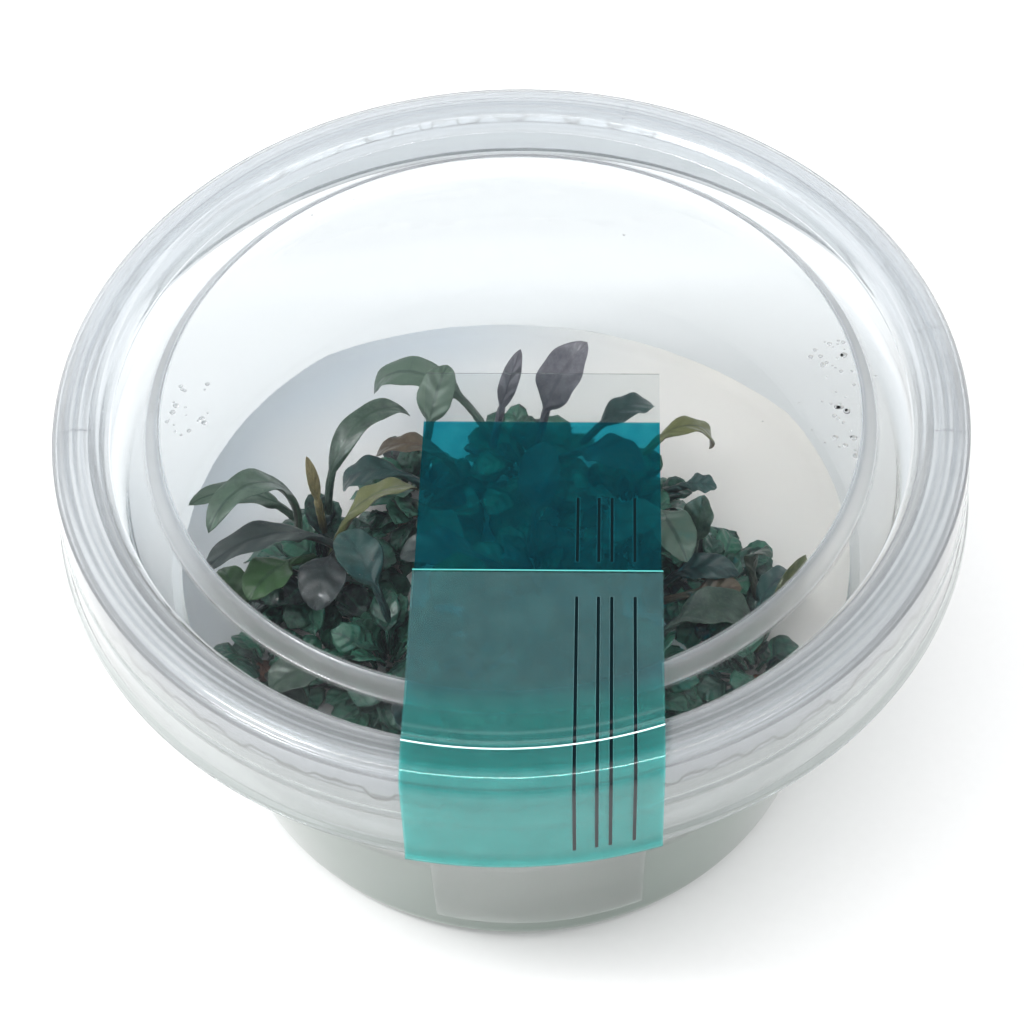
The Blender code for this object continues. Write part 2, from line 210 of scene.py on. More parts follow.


# Cup: clear pressed plastic, 0.7 mm, one turned sheet from its base to its rolled lip. It is
# glossy, with faint flow rings from the press. It is hazy up to 24 mm high and nearly clear from
# 28 mm, and its haze is a darker green towards -Y, which is painted shade.
def beside(path, distance):
    """The path moved to its left by distance, with mitred corners."""
    path = np.array(path, float)
    along = np.diff(path, axis=0)
    along /= np.linalg.norm(along, axis=1)[:, None]
    left = np.stack([-along[:, 1], along[:, 0]], axis=1)
    first, last = np.vstack([left[:1], left]), np.vstack([left, left[-1:]])
    return path + (first + last) / (1 + (first * last).sum(axis=1))[:, None] * distance


def rounded(path, cut=1.0, steps=5):
    """The path with each corner as a curve: (1-t)^2 a + 2t(1-t) corner + t^2 b.

    a and b lie on the two sides of the corner, cut mm away or a third of the side.
    """
    path = np.array(path, float)
    step = np.diff(path, axis=0)
    size = np.linalg.norm(step, axis=1)
    unit = step / size[:, None]
    reach = np.minimum(cut, size / 2.5)
    corner = path[1:-1]
    a = corner - unit[:-1] * reach[:-1, None]
    b = corner + unit[1:] * reach[1:, None]
    t = np.linspace(0, 1, steps)[None, :, None]
    curve = (1 - t) ** 2 * a[:, None] + 2 * t * (1 - t) * corner[:, None] + t ** 2 * b[:, None]
    return np.vstack([path[:1], curve.reshape(-1, 2), path[-1:]])


def turned(name, outline, material, node, segments=288, close=False):
    """Spin an outline of (radius, height) points round +Z; on the axis it closes itself."""
    outline = np.array(outline, float)
    turn = np.linspace(0, 2 * np.pi, segments, endpoint=False)
    radius, height = outline[:, :1], outline[:, 1:]
    points = np.stack([radius * np.cos(turn), radius * np.sin(turn),
                       height + 0 * turn], axis=-1)
    return piece(name, points.reshape(-1, 3),
                 grid_faces(len(outline), segments, close, True), material, node)


def ramp(tree, source, stops):
    """A value read off a line of (place in mm, value) stops, for a source in metres."""
    first, last = stops[0][0], stops[-1][0]
    made = add(tree, "ValToRGB", links=[("Fac", span(tree, source, first / 1000, last / 1000,
                                                     0.0, 1.0))])
    points = made.color_ramp.elements
    while len(points) < len(stops):
        points.new(0.5)
    for point, (place, value) in zip(points, stops):
        point.position = (place - first) / (last - first)
        point.color = (value, value, value, 1.0)
    return made.outputs["Color"]


def clear_plastic(name, tint, frosted, near, passes, frost, by=(1.0, 1.0, 0.0)):
    """Clear plastic whose passed share of light and whose roughness change by zones.

    by picks the axes whose length the zones are read along: the radius or the height. The
    haze has the two colours frosted, within and past a radius of 58.8 mm, and towards -Y, the
    side that faces the camera, the two darker colours near, which are painted shade.
    """
    made, tree, shader = surface(name, IOR=1.46, Coat_Weight=0.5, Coat_Roughness=0.03)
    place = add(tree, "TexCoord").outputs["Object"]
    flat = add(tree, "VectorMath", [(1, by)], [(0, place)], operation="MULTIPLY")
    radius = add(tree, "VectorMath", links=[(0, flat.outputs[0])],
                 operation="LENGTH").outputs["Value"]
    clear = ramp(tree, radius, passes)
    tree.links.new(clear, shader.inputs["Transmission Weight"])
    cloud = span(tree, noise_mm(tree, 6.0, source=place).outputs["Fac"], 0.35, 0.7, 0.0, 0.03)
    rough = add(tree, "Math", links=[(0, ramp(tree, radius, frost)), (1, cloud)],
                operation="ADD")
    tree.links.new(rough.outputs[0], shader.inputs["Roughness"])
    milky = span(tree, clear, 0.7, 1.0, 0.0, 1.0)
    past = span(tree, radius, 0.0588, 0.0589, 0.0, 1.0)
    side = add(tree, "SeparateXYZ", links=[("Vector", place)]).outputs["Y"]
    # Painted shade: towards -Y, the side that faces the camera, the haze takes the darker colours near.
    haze = blend(tree, span(tree, side, -0.035, 0.02, 1.0, 0.0),
                 *(blend(tree, past, *(linear(tone) for tone in pair))
                   for pair in (frosted, near)))
    tree.links.new(blend(tree, milky, haze, linear(tint)), shader.inputs["Base Color"])
    grains = noise_mm(tree, 0.6, 1.0, place)
    swell = noise_mm(tree, 9.0, 1.0, place)
    relief = add(tree, "Math", [(1, 0.06)], [(0, grains.outputs["Fac"]),
                                            (2, swell.outputs["Fac"])],
                 operation="MULTIPLY_ADD")
    bump(tree, shader, relief.outputs[0], 0.018)
    return made


def arc(centre, radius, start, end, count):
    """Points on an arc from start to end degrees, both ends included."""
    angle = np.radians(np.linspace(start, end, count))
    return [(centre[0] + radius * math.cos(a), centre[1] + radius * math.sin(a))
            for a in angle]


# Painted shade: the darker green pair near is for the cup's -Y side.
cup_plastic = clear_plastic(
    "clear_cup_plastic", "#f9fcfe", ("#9aa89f", "#9aa89f"), ("#61786a", "#61786a"),
    [(0, 0.42), (24.0, 0.48), (28.0, 0.965), (56.0, 0.965), (58.0, 1.0), (67, 1.0)],
    [(0, 0.1), (24.0, 0.1), (28.0, 0.03), (67, 0.03)], (0.0, 0.0, 1.0))
cup_foot = [(0.0, 0.0)] + arc((38.0, 4.2), 4.2, -90, -10, 5)
cup_outside = cup_foot + [(51.2, 55.5), (52.9, 58.0), (53.5, 64.4), (55.0, 65.5), (56.3, 65.4),
                          (57.2, 64.4), (57.3, 61.5)]
cup_outline = np.vstack([rounded(cup_outside), rounded(beside(cup_outside, 0.7))[::-1]])
turned("cup_body", cup_outline, cup_plastic, "cup")

# Lid: clear pressed plastic, 0.6 mm, snapped over the lip: a flat panel, a stepped ring, a
# shelf, a ribbed rim, and a skirt that flares at its foot.
# Partly painted light: the hazy band at 45.0-45.5 mm lightens the ring's inner wall, and the bands that
# alternate from 53.3 to 57.8 mm paint the light and dark lines along the ribs; the rest of the haze is
# the plastic's frosting. The darker near pair is painted shade towards -Y.
lid_plastic = clear_plastic(
    "clear_lid_plastic", "#fbfcfd", ("#dfe5ea", "#eef1f1"), ("#969da2", "#83908a"),
    [(0, 1.0), (44.9, 1.0), (45.0, 0.74), (45.5, 0.74), (45.8, 0.96), (46.6, 0.96), (46.8, 0.84),
     (47.2, 0.88), (47.4, 0.995), (52.0, 0.995), (52.5, 0.82), (53.3, 0.88), (53.9, 0.77), (54.3, 0.88),
     (54.8, 0.77), (55.2, 0.88), (55.8, 0.77), (56.3, 0.88), (56.8, 0.77), (57.3, 0.88),
     (57.8, 0.77), (58.7, 0.83), (60, 0.81)],
    [(0, 0.0), (44.9, 0.0), (45.1, 0.3), (47.0, 0.3), (47.3, 0.01), (52.0, 0.01), (52.9, 0.24),
     (58.4, 0.24), (58.7, 0.07), (60, 0.07)])
lid_coarse = [(0.0, 66.6), (45.3, 66.6), (47.0, 64.7), (51.6, 64.7), (52.4, 66.2), (53.9, 67.2),
              (55.8, 67.5), (57.7, 67.2), (58.7, 66.4), (59.0, 59.4), (59.3, 58.8),
              (59.4, 54.0), (60.0, 52.8)]
lid_outside = [(0.0, 66.6), (45.3, 66.6), (47.0, 64.7), (51.6, 64.7), (52.4, 66.3), (53.0, 66.85),
               (53.6, 66.98), (54.0, 66.94), (54.5, 67.2), (54.9, 67.26), (55.2, 67.22),
               (55.8, 67.42), (56.4, 67.24), (56.9, 67.3), (57.4, 67.2), (57.9, 66.85),
               (58.2, 66.8), (58.7, 66.3), (58.85, 63.4), (59.0, 60.2), (59.25, 59.9),
               (59.35, 59.3), (59.15, 58.7), (59.4, 54.2), (59.9, 53.5), (60.0, 52.8)]
lid_outline = np.vstack([rounded(lid_outside, 0.2),
                         rounded(beside(lid_coarse, -0.6), 0.2)[::-1]])
turned("lid_body", lid_outline, lid_plastic, "lid")

# Jelly: cloudy nutrient gel, poured hot, so it climbs the wall in a thin edge and its top
# dips and swells a little. It has drawn back in an arc at the far side and it is wet. Its top
# is painted whiter near the plants, which is painted light, in random patches; away from them
# it is bluish towards -X and cream towards +X. Its side is a darker green than its top, which
# is painted shade.
gel, gel_tree, gel_shader = surface(
    "cloudy_gel", Roughness=0.16, IOR=1.34, Coat_Weight=0.4, Coat_Roughness=0.05)
gel_place = add(gel_tree, "SeparateXYZ", links=[("Vector", add(gel_tree, "TexCoord").outputs[
    "Object"])])
# Painted light: the top is whiter within about 30 mm of the middle of the plants, with random patches
# at the edge of it.
from_clump = add(gel_tree, "VectorMath", [(1, (0.004, -0.010, 0.0336))], [
    (0, add(gel_tree, "TexCoord").outputs["Object"])], operation="DISTANCE")
patches_and_painted_light = add(gel_tree, "Math", [(1, 0.014)], [
    (0, noise_mm(gel_tree, 18.0).outputs["Fac"]), (2, from_clump.outputs["Value"])],
    operation="MULTIPLY_ADD")
top = blend(gel_tree, span(gel_tree, patches_and_painted_light.outputs[0], 0.036, 0.060, 0, 1), linear("#fdfaf4"),
            blend(gel_tree, span(gel_tree, gel_place.outputs["X"], -0.01, 0.03, 0, 1),
                  linear("#e2ebf1"), linear("#f6f3eb")))
# Painted shade: below about 30 mm, on its side, the jelly is a darker grey-green than its top.
tone = blend(gel_tree, span(gel_tree, gel_place.outputs["Z"], 0.029, 0.031, 0, 1),
             linear("#a3b1a5"), top)
gel_tree.links.new(tone, gel_shader.inputs["Base Color"])
bump(gel_tree, gel_shader, noise_mm(gel_tree, 7.0, 1.0).outputs["Fac"], 0.25)
gel_side = beside(cup_foot + [(46.38, 30.6), (46.55, 31.6), (46.72, 32.6), (46.9, 33.6)], 0.85)
gel_edge = gel_side[-1, 0]
gel_top = [(gel_edge, 34.4), (gel_edge - 0.25, 34.35), (gel_edge - 0.9, 33.8),
           (gel_edge - 2.2, 33.6)]
gel_outline = list(gel_side[:-1]) + gel_top + [(r, 33.55) for r in (38, 30, 22, 14, 7, 0)]
pad = turned("gel_pad", gel_outline, gel, "jelly", 144)
place = np.empty(len(pad.data.vertices) * 3)
pad.data.vertices.foreach_get("co", place)
place = place.reshape(-1, 3)
rise = np.clip((place[:, 2] - 0.0306) / 0.003, 0, 1)
toward_it = place[:, :2] / np.maximum(np.linalg.norm(place[:, :2], axis=1), 1e-6)[:, None]
middle = np.array((-0.0035, -0.0158))
lean = toward_it @ middle
far = lean + np.sqrt(lean ** 2 - middle @ middle + 0.0582 ** 2)
place[:, :2] *= (1 - rise * (1 - np.minimum(far / 0.0461, 1)))[:, None]
pad.data.vertices.foreach_set("co", place.ravel())


# Leaves that stand clear: thick glossy blades on round stalks, folded along the midrib, with
# wavy margins, paler tips and a dull reddish back. Each stands for the CAD leaf of its row.
def leaf_shells(start, bearing, rise, length, width, bow, swing, roll, wave, rows, half,
                tail=0.0, stalk=0.24, stalk_width=1.1, thick=0.5):
    """Closed leaf bodies, one for each row of the inputs, and their point attributes.

    Along a leaf s runs from 0 to 1: its way has bearing + swing s and rise - bow s^1.3, and
    its width is width * a^0.62 (1-a)^0.72 / peak, with a the place along the blade. Across it
    the section is an ellipse whose two halves are raised by 14 degrees, and whose margin
    waves up and down by wave mm. tail is the length of stalk that runs back into the crown.
    """
    def column(values):
        return np.atleast_1d(np.asarray(values, float))[:, None]

    bearing, rise, length, width, bow, swing, roll, wave = (
        column(values) for values in (bearing, rise, length, width, bow, swing, roll, wave))
    share = np.linspace(0, 1, rows)
    head, lift = np.radians(bearing + swing * share), np.radians(rise - bow * share ** 1.3)
    way = np.stack([np.cos(lift) * np.cos(head), np.cos(lift) * np.sin(head), np.sin(lift)], -1)
    step = (way[:, 1:] + way[:, :-1]) / 2 * (length / (rows - 1))[..., None]
    line = np.atleast_2d(start)[:, None] + np.concatenate(
        [np.zeros_like(step[:, :1]), np.cumsum(step, axis=1)], axis=1)
    flat = np.stack([np.sin(head), -np.cos(head), 0 * head], -1)
    up = np.cross(flat, way)
    turn = np.radians(roll)[..., None]
    side = flat * np.cos(turn) - up * np.sin(turn)
    up = np.cross(side, way)
    along = np.clip((share - stalk) / (1 - stalk), 0, 1)
    blade = along ** 0.62 * (1 - along) ** 0.72 / (0.463 ** 0.62 * 0.537 ** 0.72)
    wide = np.maximum(width * blade, np.interp(share, (0, stalk, stalk + 0.12, 1),
                                               (stalk_width, stalk_width, 0, 0))) / 2
    deep = np.interp(share, (0, stalk, stalk + 0.2, 0.9, 1),
                     (stalk_width, stalk_width, thick, thick * 0.7, thick * 0.2)) / 2
    if tail:
        line = np.concatenate([line[:, :1] - way[:, :1] * tail, line], axis=1)
        side, up = (np.concatenate([v[:, :1], v], axis=1) for v in (side, up))
        wide = np.concatenate([wide[:, :1], wide], axis=1)
        deep, share = np.append(deep[0], deep), np.append(0.0, share)
    ends = [0, *range(len(share)), len(share) - 1]
    line, side, up, wide = line[:, ends], side[:, ends], up[:, ends], wide[:, ends]
    deep, share = deep[ends], share[ends]
    closed = np.ones(len(ends))
    closed[[0, -1]] = 0.0
    wide, deep = wide * closed, deep * closed
    loop = np.pi * np.arange(2 * half) / half
    across, over = np.cos(loop), np.sin(loop)
    fold = 0.25 * np.clip((share - stalk) * 6, 0, 1) * closed
    margin = np.sin(share * 21.0 + 2.2 * np.sign(across)[:, None]).T * np.abs(across) ** 3
    lifted = (wide[..., None] * fold[:, None] * np.abs(across) ** 1.2
              + deep[:, None] * over
              + wave[..., None] * margin * (wide / np.maximum(width / 2, 0.1))[..., None])
    points = (line[:, :, None] + side[:, :, None] * (wide[..., None] * across)[..., None]
              + up[:, :, None] * lifted[..., None])
    mark = np.stack(np.broadcast_arrays(share[None, :, None], across, over), -1)
    mark = np.broadcast_to(mark, points.shape)
    return points, mark


def leaf_faces(count, rows, columns):
    """Faces of count leaf bodies that lie one after another in the list of points."""
    one = grid_faces(rows, columns, False, True)
    return (one[None] + np.arange(count)[:, None, None] * rows * columns).reshape(-1, 4)


def leaf_tissue(name, old, young, back, rib, sheen=0.30):
    """Leaf: old to young tone along it and in blotches, midrib and side veins, dull back."""
    made, tree, shader = surface(name, Specular_IOR_Level=0.45, Coat_Weight=0.16,
                                 Coat_Roughness=0.18)
    mark = add(tree, "Attribute", attribute_name="leaf")
    parts = add(tree, "SeparateXYZ", links=[("Vector", mark.outputs["Vector"])])
    shade = add(tree, "Attribute", attribute_name="shade")
    own = add(tree, "SeparateXYZ", links=[("Vector", shade.outputs["Vector"])])
    blotch = noise_mm(tree, 1.6, 3.0).outputs["Fac"]
    share = add(tree, "Math", [(1, 0.55)], [(0, parts.outputs["X"]), (2, own.outputs["X"])],
                operation="MULTIPLY_ADD")
    speck = add(tree, "Math", [(1, 0.5)], [
        (0, noise_mm(tree, 0.4, 2.0).outputs["Fac"]), (2, share.outputs[0])],
        operation="MULTIPLY_ADD")
    mottled = add(tree, "Math", links=[(0, speck.outputs[0]), (1, blotch)], operation="ADD")
    tone = blend(tree, span(tree, mottled.outputs[0], 0.8, 1.8, 0, 1), linear(old),
                 linear(young))
    middle = add(tree, "Math", links=[(0, parts.outputs["Y"])], operation="ABSOLUTE")
    ribbed = blend(tree, span(tree, middle.outputs[0], 0.05, 0.14, 0.75, 0.0), tone,
                   linear(rib))
    edged = blend(tree, span(tree, middle.outputs[0], 0.9, 0.99, 0.0, 0.6), ribbed,
                  linear(young))
    whole = blend(tree, span(tree, parts.outputs["Z"], -0.1, 0.0, 1.0, 0.0), edged,
                  linear(back))
    tree.links.new(whole, shader.inputs["Base Color"])
    slant = add(tree, "Math", [(1, 34.0)], [(0, parts.outputs["X"])], operation="MULTIPLY")
    bent = add(tree, "Math", [(1, -6.5)], [(0, middle.outputs[0]), (2, slant.outputs[0])],
               operation="MULTIPLY_ADD")
    veins = add(tree, "Math", links=[(0, bent.outputs[0])], operation="SINE")
    relief = add(tree, "Math", [(1, 0.5)], [(0, veins.outputs[0]), (2, blotch)],
                 operation="MULTIPLY_ADD")
    bump(tree, shader, relief.outputs[0], 0.12)
    gloss = span(tree, noise_mm(tree, 0.9).outputs["Fac"], 0.3, 0.7, sheen, sheen + 0.16)
    tree.links.new(gloss, shader.inputs["Roughness"])
    return made


JELLY_TOP = 33.6
CROWNS = {
    "left": (-26.0, -6.0, 8.5, 13.0), "back_left": (-13.0, 6.0, 7.5, 13.5),
    "back": (3.0, 10.0, 8.0, 15.0), "back_right": (16.0, 2.0, 7.5, 13.0),
    "right": (26.5, -9.5, 7.0, 10.0), "middle": (3.0, -12.0, 9.0, 14.5),
    "front_left": (-17.0, -22.0, 8.5, 13.5), "front_right": (14.0, -27.5, 8.5, 12.5),
    "left_edge": (-33.5, -20.5, 6.0, 9.5), "right_edge": (31.0, -25.0, 6.0, 9.5),
    "front": (-2.0, -29.5, 6.5, 11.5),
}
# crown, number, where the stalk leaves it (bearing, rise), the blade's bearing and rise,
# length, width, bow, swing, roll, tint
LEAVES = (
    ("left", 1, 143, 69, 185, 95, 24.0, 4.6, 131, 60, 0, "green"),
    ("left", 2, 111, 22, 171, 60, 19.7, 3.6, 54, 51, -12, "green"),
    ("left", 3, 316, 75, 199, 54, 20.6, 5.0, 94, 8, 8, "purple"),
    ("left", 4, 89, 65, 119, 82, 10.2, 1.7, 9, 1, 0, "pale"),
    ("left", 5, 80, 54, 74, 78, 24.0, 3.6, 146, -49, 6, "green"),
    ("left", 6, 336, 74, 34, 65, 15.4, 4.8, 117, -15, -24, "olive"),
    ("left", 7, 308, 69, 258, 38, 11.0, 6.4, 82, -3, 0, "purple"),
    ("left", 8, 233, 64, 229, 39, 10.7, 6.0, 65, 2, 0, "bright"),
    ("back", 1, 149, 38, 128, 38, 24.7, 4.4, 116, 36, -20, "green"),
    ("back", 2, 162, 57, 56, 65, 11.8, 2.6, 18, -1, 20, "purple"),
    ("back", 3, 320, 80, 39, 77, 14.7, 6.2, 49, -4, 8, "purple"),
    ("back", 4, 18, 34, 32, 31, 13.0, 4.4, 82, 4, 0, "dark"),
    ("back", 5, 330, 50, 325, 50, 13.0, 5.8, 70, 0, 0, "dark"),
    ("back_left", 1, 356, 54, 170, 68, 13.6, 3.8, 125, 11, 12, "brown"),
    ("back_left", 2, 273, 67, 169, 35, 12.5, 4.6, 110, 14, 0, "dark"),
    ("back_left", 3, 275, 48, 292, 40, 12.5, 5.8, 76, 0, 0, "green"),
    ("back_left", 4, 75, 50, 70, 58, 11.5, 5.2, 60, 0, 0, "green"),
    ("back_right", 1, 69, 52, 37, 45, 15.4, 3.2, 151, -35, 0, "olive"),
    ("back_right", 2, 8, 42, 350, 34, 5.6, 3.2, 60, 0, 0, "dark"),
    ("back_right", 3, 300, 55, 290, 44, 12.5, 5.8, 78, 0, 0, "green"),
    ("right", 1, 170, 69, 71, 60, 8.0, 4.8, 21, -1, -20, "green"),
    ("right", 2, 191, 35, 358, 57, 11.5, 3.8, 88, -16, 16, "dark"),
    ("right", 3, 227, 43, 357, 23, 7.6, 4.2, 27, 2, 10, "brown"),
    ("right", 4, 325, 41, 301, 116, 12.0, 2.6, 98, 0, 0, "green"),
    ("right_edge", 1, 75, 47, 48, 49, 11.4, 2.6, 11, 0, 20, "olive"),
    ("middle", 1, 95, 64, 80, 62, 13.0, 5.6, 70, 0, 0, "dark"),
    ("middle", 2, 20, 52, 15, 50, 13.0, 6.0, 76, 0, 0, "green"),
    ("middle", 3, 175, 54, 178, 44, 13.5, 6.0, 78, 0, 0, "purple"),
    ("middle", 4, 262, 60, 262, 50, 12.5, 6.2, 80, 0, 0, "green"),
    ("front_left", 1, 97, 56, 120, 54, 12.0, 6.0, 78, 0, 0, "dark"),
    ("front_left", 2, 25, 60, 38, 48, 12.0, 6.2, 74, 0, 0, "bright"),
    ("front_left", 3, 205, 50, 208, 34, 11.5, 6.0, 70, 0, 0, "green"),
    ("front_left", 4, 285, 48, 288, 30, 11.5, 6.2, 70, 0, 0, "dark"),
    ("front_right", 1, 53, 45, 38, 23, 16.0, 5.6, 90, -40, 10, "green"),
    ("front_right", 2, 125, 60, 136, 50, 12.0, 6.0, 78, 0, 0, "dark"),
    ("front_right", 3, 250, 50, 250, 34, 11.5, 6.0, 70, 0, 0, "purple"),
    ("left_edge", 1, 118, 44, 112, 40, 9.5, 5.2, 62, 0, 0, "bright"),
    ("left_edge", 2, 285, 46, 292, 38, 9.5, 5.6, 70, 0, 0, "green"),
    ("right_edge", 2, 91, 41, 75, 27, 14.0, 3.8, 90, -40, 0, "dark"),
    ("right_edge", 3, 250, 46, 246, 36, 9.5, 5.6, 70, 0, 0, "green"),
    ("front", 1, 45, 58, 58, 46, 11.5, 6.0, 76, 0, 0, "bright"),
    ("front", 2, 262, 52, 262, 42, 10.5, 6.2, 76, 0, 0, "dark"),
)
# tint: old tone, young tone, back, midrib
TISSUES = {
    "green": leaf_tissue("leaf_tissue_green", "#162c27", "#586f5f", "#4a5044", "#2f4939"),
    "dark": leaf_tissue("leaf_tissue_dark", "#0c2427", "#305450", "#36403b", "#224040"),
    "purple": leaf_tissue("leaf_tissue_purple", "#182023", "#46514f", "#463f3c", "#2c3838"),
    "brown": leaf_tissue("leaf_tissue_brown", "#37342c", "#6d5f4c", "#66503e", "#5b4a3c"),
    "olive": leaf_tissue("leaf_tissue_olive", "#36412a", "#6f7346", "#6a6046", "#4c5636"),
    "bright": leaf_tissue("leaf_tissue_bright", "#1a3321", "#40633c", "#46543a", "#305034"),
    # Painted glare: a paler purple for leaves seen through the clear head of the strip.
    "glare_painted": leaf_tissue("leaf_tissue_glare_painted", "#42454e", "#7c7b83", "#5e5a5c", "#56585f"),
    "pale": leaf_tissue("leaf_tissue_pale", "#77704f", "#b0a37a", "#8c7f60", "#9c9066"),
}
luck = np.random.default_rng(7)
for home, number, at, up_at, bearing, rise, length, width, bow, swing, roll, tint in LEAVES:
    x, y, radius, height = CROWNS[home]
    head, lift = math.radians(at), math.radians(up_at)
    reach = (radius + 1.3) * math.cos(lift)
    start = np.array([x + reach * math.cos(head), y + reach * math.sin(head),
                      JELLY_TOP + (height + 1.3) * math.sin(lift)])
    points, mark = leaf_shells(start, bearing, rise, length, width, bow, swing, roll,
                               0.0 if tint == "pale" else 0.32, 31, 9, tail=3.2)
    own = np.broadcast_to((luck.random(), 0.0, 0.0), mark.shape)
    # Painted glare: the back crown's purple leaves take the paler tissue.
    look = "glare_painted" if (home, tint) == ("back", "purple") else tint
    piece(f"{home}_blade_{number}", points.reshape(-1, 3),
          leaf_faces(1, points.shape[1], points.shape[2]), TISSUES[look],
          f"{home}_leaf_{number}",
          {"leaf": mark.reshape(-1, 3), "shade": own.reshape(-1, 3)}, 180.0)


# Crowns: a creeping rhizome on the jelly with short stems and roots, packed all over with
# small glossy leaves that reach the crown's dome.
def tubes(paths, radii, sides=8):
    """Round rods along paths of (count, steps, 3) points, closed at both ends."""
    ends = [0, *range(paths.shape[1]), paths.shape[1] - 1]
    way = np.gradient(paths, axis=1)
    way /= np.linalg.norm(way, axis=-1, keepdims=True)
    side = np.cross(way, (0.31, 0.17, 0.93))
    side /= np.linalg.norm(side, axis=-1, keepdims=True)
    other = np.cross(way, side)
    turn = 2 * np.pi * np.arange(sides) / sides
    thick = radii[:, ends, None]
    thick[:, [0, -1]] = 0.0
    paths, side, other = paths[:, ends], side[:, ends], other[:, ends]
    return (paths[:, :, None] + side[:, :, None] * (thick * np.cos(turn))[..., None]
            + other[:, :, None] * (thick * np.sin(turn))[..., None])


def bunch(groups):
    """Join groups of closed bodies of (count, rows, columns, 3) into points and faces."""
    points, faces, first = [], [], 0
    for group in groups:
        count, rows, columns, _ = group.shape
        faces.append(leaf_faces(count, rows, columns) + first)
        points.append(group.reshape(-1, 3))
        first += count * rows * columns
    return np.vstack(points), np.vstack(faces)


small_tissue = leaf_tissue("leaf_tissue_small", "#081f21", "#38725c", "#2c3f36", "#205040",
                           0.26)
stem_bark, bark_tree, bark_shader = surface("rhizome_bark", Roughness=0.5)
bark_tree.links.new(blend(bark_tree, noise_mm(bark_tree, 1.2, 3.0).outputs["Fac"],
                          linear("#2c2a1c"), linear("#7a4a34")),
                    bark_shader.inputs["Base Color"])
bump(bark_tree, bark_shader, noise_mm(bark_tree, 0.5).outputs["Fac"], 0.3)
for home, (x, y, radius, height) in CROWNS.items():
    count = int(60 * (radius / 8) ** 2)
    index = np.arange(count) + 0.5
    high = np.degrees(np.arcsin(0.02 + 0.97 * index / count)) + luck.uniform(-6, 6, count)
    round_it = (index * 137.5 + luck.uniform(-18, 18, count)) % 360
    out = luck.uniform(0.35, 0.62, count)
    head, lift = np.radians(round_it), np.radians(high)
    start = np.stack([x + radius * out * np.cos(lift) * np.cos(head),
                      y + radius * out * np.cos(lift) * np.sin(head),
                      JELLY_TOP + 1.5 + (height - 1.5) * out * np.sin(lift)], -1)
    points, mark = leaf_shells(
        start, round_it + luck.uniform(-30, 30, count), high * 0.75 + 12, radius * 0.95
        * luck.uniform(0.75, 1.1, count), luck.uniform(3.4, 5.2, count),
        luck.uniform(50, 105, count), luck.uniform(-15, 15, count),
        luck.uniform(-35, 35, count), luck.uniform(0.0, 0.3, count), 8, 4,
        stalk=0.3, stalk_width=0.6, thick=0.36)
    own = np.zeros(points.shape)
    # Painted light: the small leaves of the crowns at the near side, below y = -20 mm, are made
    # lighter.
    own[..., 0] = luck.uniform(-0.4, 1.0, count)[:, None, None] + (0.35 if y < -20 else 0.0)
    verts, faces = bunch([points])
    foliage = piece(f"{home}_foliage", verts, faces, small_tissue, f"{home}_crown",
                    {"leaf": mark.reshape(-1, 3), "shade": own.reshape(-1, 3)}, 180.0)
    turn = luck.uniform(0, np.pi)
    step = np.linspace(-1, 1, 15)
    core = np.stack([x + radius * 0.55 * step * np.cos(turn), y + radius * 0.55 * step
                     * np.sin(turn), JELLY_TOP + 1.6 + 0.5 * np.sin(step * 5)], -1)[None]
    thick = (1.3 + 0.25 * np.sin(step * 17))[None] * np.sqrt(np.clip(1.08 - step ** 2, 0, 1))
    root_turn = luck.uniform(0, 2 * np.pi, 7)
    sink = np.linspace(0, 1, 6)
    roots = np.stack([x + radius * (0.15 + 0.4 * sink) * np.cos(root_turn)[:, None],
                      y + radius * (0.15 + 0.4 * sink) * np.sin(root_turn)[:, None],
                      JELLY_TOP + 1.5 - 3.6 * sink[None] ** 2 + 0 * root_turn[:, None]], -1)
    verts, faces = bunch([tubes(core, thick, 12), tubes(roots, np.full(roots.shape[:2], 0.35))])
    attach(piece(f"{home}_rhizome", verts, faces, stem_bark, sharp=180.0),
            "root")

# Label strip: clear film, tinted teal past its head, laid along the lid and down the skirt.
# Where words were it carries plain ruled lines.
film_tint, film_tree, film_shader = surface("teal_film", Roughness=0.03, IOR=1.45)


def film_grid(stations, width, offset, turn, thick, columns=41):
    """Top and underside of a film over stations of (reach, height, roundness).

    Each line across it is at y = -reach + roundness * (reach - sqrt(reach^2 - x^2)).
    """
    stations = np.array(stations, float)
    run = np.concatenate([[0], np.cumsum(np.hypot(*np.diff(stations[:, :2], axis=0).T))])
    path = rounded(stations[:, :2], 0.9, 5)
    far = np.concatenate([[0], np.cumsum(np.hypot(*np.diff(path, axis=0).T))])
    far = far / far[-1] * run[-1]
    round_off = np.interp(far, run, stations[:, 2])
    across = np.linspace(-width / 2, width / 2, columns) + offset
    layers = []
    for out in (0.0, thick):
        reach, height = beside(path, out).T
        span_y = reach[:, None] - np.sqrt(np.maximum(reach[:, None] ** 2 - across ** 2, 0))
        y = round_off[:, None] * span_y - reach[:, None]
        x = across + 0 * y
        layers.append(np.stack([x, y, height[:, None] + 0 * y], -1))
    angle = math.radians(turn)
    spin = np.array([(math.cos(angle), math.sin(angle), 0), (-math.sin(angle), math.cos(angle),
                                                             0), (0, 0, 1)])
    grid = np.concatenate([layers[0], layers[1][:, ::-1]], axis=1) @ spin
    side = np.concatenate([across, across[::-1]]) - offset
    mark = np.stack(np.broadcast_arrays(far[:, None], side[None], 0.0), -1)
    ends = [0, *range(len(grid)), len(grid) - 1]
    return grid[ends], mark[ends]


